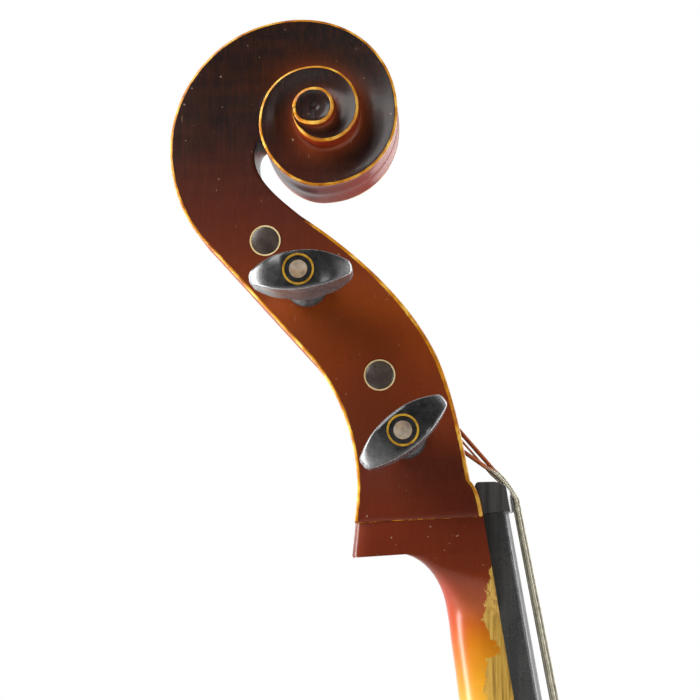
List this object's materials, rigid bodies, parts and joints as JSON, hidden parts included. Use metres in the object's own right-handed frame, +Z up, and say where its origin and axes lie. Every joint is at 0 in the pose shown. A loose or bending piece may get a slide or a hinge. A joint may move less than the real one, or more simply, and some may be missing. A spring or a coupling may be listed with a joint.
{
  "type": "cello",
  "caption": "Full-size cello with a carved scroll, turning pegs, arched plates, ribs, bridge, tailpiece with fine tuners and a sliding endpin.",
  "frame": {"origin": "centre of the flat foot under the endpin's rubber tip, with the endpin pushed in", "axes": "+Z up the instrument from the foot to the scroll, +X out of the belly towards the strings, +Y towards the treble side"},
  "size_m": [0.2705, 0.44, 1.2975],
  "materials": {
    "maple": "worn, reddish brown oil varnish over flamed maple, golden along the edges",
    "belly_spruce": "reddish brown varnish over straight grained spruce",
    "inner_wood": "bare spruce and willow, unvarnished",
    "purfling": "thin black and white inlay",
    "ebony": "satin black ebony, worn to dark grey where it is handled",
    "boxwood": "pale turned bushing",
    "bridge_maple": "pale maple with fine flecks",
    "brass": "polished thin ring",
    "pearl": "mother of pearl dot with a soft sheen",
    "string_wire": "flat wound metal, silk wound at the peg end",
    "cord": "twisted cord",
    "tuner_metal": "satin nickel",
    "steel": "polished steel rod",
    "rubber": "matt black rubber"
  },
  "bodies": {
    "cello": {"back_plate": "maple", "top_plate": "belly_spruce", "upper_rib_bass": "maple", "upper_rib_treble": "maple", "center_rib_bass": "maple", "center_rib_treble": "maple", "lower_rib_bass": "maple", "lower_rib_treble": "maple", "neck_block": "inner_wood", "end_block": "inner_wood", "upper_corner_blocks": "inner_wood", "lower_corner_blocks": "inner_wood", "top_linings": "inner_wood", "back_linings": "inner_wood", "bass_bar": "inner_wood", "sound_post": "inner_wood", "top_purfling": "purfling", "back_purfling": "purfling", "neck": "maple", "peg_bushings": "boxwood", "fingerboard": "ebony", "nut": "ebony", "saddle": "ebony", "bridge": "bridge_maple", "tailpiece": "ebony", "tail_gut": "cord", "string_c": "string_wire", "string_g": "string_wire", "string_d": "string_wire", "string_a": "string_wire", "tuner_axle": "tuner_metal", "endpin_collar": "ebony", "endpin_sleeve": "steel"},
    "peg_c_body": {"peg_c": "ebony", "winding_c": "string_wire", "peg_ring_c": "brass", "peg_eye_c": "pearl"},
    "peg_g_body": {"peg_g": "ebony", "winding_g": "string_wire", "peg_ring_g": "brass", "peg_eye_g": "pearl"},
    "peg_d_body": {"peg_d": "ebony", "winding_d": "string_wire", "peg_ring_d": "brass", "peg_eye_d": "pearl"},
    "peg_a_body": {"peg_a": "ebony", "winding_a": "string_wire", "peg_ring_a": "brass", "peg_eye_a": "pearl"},
    "tuner_screw_c_body": {"tuner_screw_c": "tuner_metal"},
    "tuner_lever_c_body": {"tuner_lever_c": "tuner_metal"},
    "tuner_screw_g_body": {"tuner_screw_g": "tuner_metal"},
    "tuner_lever_g_body": {"tuner_lever_g": "tuner_metal"},
    "tuner_screw_d_body": {"tuner_screw_d": "tuner_metal"},
    "tuner_lever_d_body": {"tuner_lever_d": "tuner_metal"},
    "tuner_screw_a_body": {"tuner_screw_a": "tuner_metal"},
    "tuner_lever_a_body": {"tuner_lever_a": "tuner_metal"},
    "endpin": {"endpin_rod": "steel", "endpin_tip": "rubber"},
    "endpin_screw_body": {"endpin_screw": "tuner_metal"}
  },
  "joints": [
    {"name": "peg_c_turn", "type": "hinge", "parent": "cello", "child": "peg_c_body", "pos_m": [0.00803, 0, 1.1218], "axis": [0, -1, 0], "range_deg": [-1260, 90]},
    {"name": "peg_g_turn", "type": "hinge", "parent": "cello", "child": "peg_g_body", "pos_m": [-0.03177, 0, 1.1837], "axis": [0, -1, 0], "range_deg": [-1260, 90]},
    {"name": "peg_d_turn", "type": "hinge", "parent": "cello", "child": "peg_d_body", "pos_m": [-0.04927, 0, 1.2034], "axis": [0, 1, 0], "range_deg": [-1260, 90]},
    {"name": "peg_a_turn", "type": "hinge", "parent": "cello", "child": "peg_a_body", "pos_m": [-0.00227, 0, 1.1474], "axis": [0, 1, 0], "range_deg": [-1260, 90]},
    {"name": "tuner_screw_c_turn", "type": "hinge", "parent": "cello", "child": "tuner_screw_c_body", "pos_m": [0.1412, -0.01725, 0.24704], "axis": [0.9567, 0, -0.2911], "range_deg": [0, 1170]},
    {"name": "tuner_lever_c_tilt", "type": "hinge", "parent": "cello", "child": "tuner_lever_c_body", "pos_m": [0.13869, -0.01725, 0.26453], "axis": [0, 1, 0], "range_deg": [0, 7]},
    {"name": "tuner_screw_g_turn", "type": "hinge", "parent": "cello", "child": "tuner_screw_g_body", "pos_m": [0.1412, -0.00575, 0.24704], "axis": [0.9567, 0, -0.2911], "range_deg": [0, 1170]},
    {"name": "tuner_lever_g_tilt", "type": "hinge", "parent": "cello", "child": "tuner_lever_g_body", "pos_m": [0.13869, -0.00575, 0.26453], "axis": [0, 1, 0], "range_deg": [0, 7]},
    {"name": "tuner_screw_d_turn", "type": "hinge", "parent": "cello", "child": "tuner_screw_d_body", "pos_m": [0.1412, 0.00575, 0.24704], "axis": [0.9567, 0, -0.2911], "range_deg": [0, 1170]},
    {"name": "tuner_lever_d_tilt", "type": "hinge", "parent": "cello", "child": "tuner_lever_d_body", "pos_m": [0.13869, 0.00575, 0.26453], "axis": [0, 1, 0], "range_deg": [0, 7]},
    {"name": "tuner_screw_a_turn", "type": "hinge", "parent": "cello", "child": "tuner_screw_a_body", "pos_m": [0.1412, 0.01725, 0.24704], "axis": [0.9567, 0, -0.2911], "range_deg": [0, 1170]},
    {"name": "tuner_lever_a_tilt", "type": "hinge", "parent": "cello", "child": "tuner_lever_a_body", "pos_m": [0.13869, 0.01725, 0.26453], "axis": [0, 1, 0], "range_deg": [0, 7]},
    {"name": "endpin_slide", "type": "slide", "parent": "cello", "child": "endpin", "axis": [0, 0, -1], "range_m": [0, 0.3]},
    {"name": "endpin_screw_turn", "type": "hinge", "parent": "cello", "child": "endpin_screw_body", "pos_m": [0, -0.02, 0.045], "axis": [0, -1, 0], "range_deg": [-405, 45]}
  ],
  "couplings": [
    {"joint": "tuner_lever_c_tilt", "follows": "tuner_screw_c_turn", "ratio": 0.005},
    {"joint": "tuner_lever_g_tilt", "follows": "tuner_screw_g_turn", "ratio": 0.005},
    {"joint": "tuner_lever_d_tilt", "follows": "tuner_screw_d_turn", "ratio": 0.005},
    {"joint": "tuner_lever_a_tilt", "follows": "tuner_screw_a_turn", "ratio": 0.005}
  ]
}
